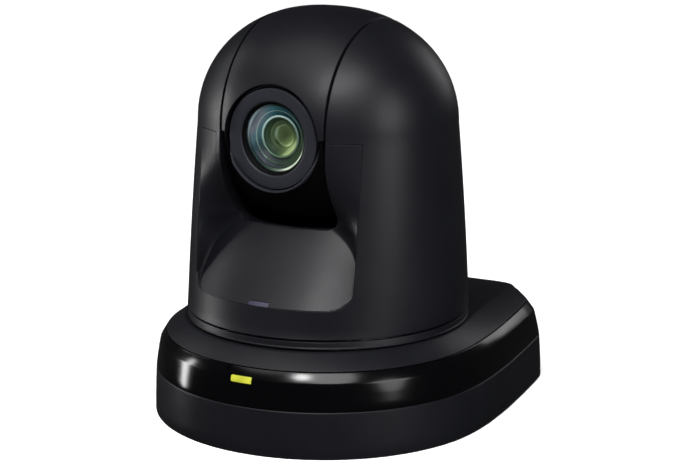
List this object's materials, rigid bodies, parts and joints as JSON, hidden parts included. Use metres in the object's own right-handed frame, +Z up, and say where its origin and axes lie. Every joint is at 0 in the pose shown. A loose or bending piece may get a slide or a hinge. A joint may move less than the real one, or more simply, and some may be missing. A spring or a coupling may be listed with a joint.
{
  "type": "pan-tilt-zoom camera",
  "caption": "Desk or ceiling PTZ camera: wide base with rear connectors, a panning head with two arms and a recessed front, and a tilting lens drum between the arms.",
  "frame": {"origin": "on the flat underside of the base, on the pan axis", "axes": "+Z up along the pan axis, the lens looks towards -Y, +X is to the right of someone facing the lens"},
  "size_m": [0.16, 0.179, 0.1864],
  "materials": {
    "shell_plastic": "fine spark-eroded texture",
    "dark_plastic": "smooth matt black",
    "gloss_black": "polished piano black",
    "bezel_grey": "fine satin",
    "lens_glass": "coated optical glass",
    "lamp_diffuser": "translucent light guide",
    "window_tint": "tinted window",
    "aluminium": "milled and die-cast",
    "steel": "plain",
    "belt_rubber": "matt",
    "brass": "turned",
    "circuit_board": "solder mask"
  },
  "bodies": {
    "base": {"lower_housing": "shell_plastic", "gloss_trim": "gloss_black", "top_deck": "shell_plastic", "collar_ring": "shell_plastic", "bottom_plate": "aluminium", "base_screw_1": "steel", "base_screw_2": "steel", "base_screw_3": "steel", "base_screw_4": "steel", "tripod_bush": "steel", "rear_panel": "dark_plastic", "panel_screw_1": "steel", "panel_screw_2": "steel", "main_board": "circuit_board", "lan_jack": "steel", "control_jack": "dark_plastic", "hdmi_socket": "steel", "usb_socket": "steel", "sdi_connector": "steel", "audio_jack": "dark_plastic", "dc_inlet": "dark_plastic", "status_lamp": "lamp_diffuser", "light_sensor": "dark_plastic", "pan_bearing_housing": "aluminium", "pan_bearing_lower": "steel", "pan_bearing_upper": "steel", "pan_motor": "steel", "pan_belt": "belt_rubber"},
    "pan_head": {"pan_pulley": "aluminium", "pan_shaft": "steel", "turntable": "aluminium", "front_panel": "shell_plastic", "sensor_window": "window_tint", "head_cover": "shell_plastic", "rear_cover": "shell_plastic", "cover_screw_1": "steel", "cover_screw_2": "steel", "yoke": "aluminium", "tilt_bearing_left": "steel", "tilt_bearing_right": "steel", "tilt_motor": "steel", "tilt_belt": "belt_rubber", "head_board": "circuit_board"},
    "tilt_unit": {"tilt_upper_cover": "shell_plastic", "tilt_lower_cover": "dark_plastic", "trunnion_left": "steel", "trunnion_right": "steel", "tilt_pulley": "aluminium", "lens_collar": "shell_plastic", "lens_bezel": "bezel_grey", "lens_barrel": "dark_plastic", "front_element": "lens_glass", "camera_block": "aluminium", "sensor_board": "circuit_board"},
    "pan_drive": {"pan_motor_pulley": "brass"},
    "tilt_drive": {"tilt_motor_pulley": "brass"},
    "focus_carriage": {"focus_group": "dark_plastic"},
    "zoom_carriage": {"zoom_group": "dark_plastic"}
  },
  "joints": [
    {"name": "pan", "type": "hinge", "parent": "base", "child": "pan_head", "pos_m": [0, 0, 0.045], "axis": [0, 0, 1], "range_deg": [-175, 175]},
    {"name": "tilt", "type": "hinge", "parent": "pan_head", "child": "tilt_unit", "pos_m": [0, 0, 0.1346], "axis": [-1, 0, 0], "range_deg": [-30, 90]},
    {"name": "pan_motor_spin", "type": "hinge", "parent": "base", "child": "pan_drive", "pos_m": [-0.047, 0.02, 0.034], "axis": [0, 0, 1], "range_deg": [-780, 780]},
    {"name": "tilt_motor_spin", "type": "hinge", "parent": "pan_head", "child": "tilt_drive", "pos_m": [0.0374, 0, 0.0675], "axis": [-1, 0, 0], "range_deg": [-102, 304]},
    {"name": "focus", "type": "slide", "parent": "tilt_unit", "child": "focus_carriage", "axis": [0, 1, 0], "range_m": [-0.0012, 0.002]},
    {"name": "zoom", "type": "slide", "parent": "tilt_unit", "child": "zoom_carriage", "axis": [0, 1, 0], "range_m": [0, 0.004]}
  ],
  "couplings": [
    {"joint": "pan_motor_spin", "follows": "pan", "ratio": 4.45},
    {"joint": "tilt_motor_spin", "follows": "tilt", "ratio": 3.37}
  ]
}
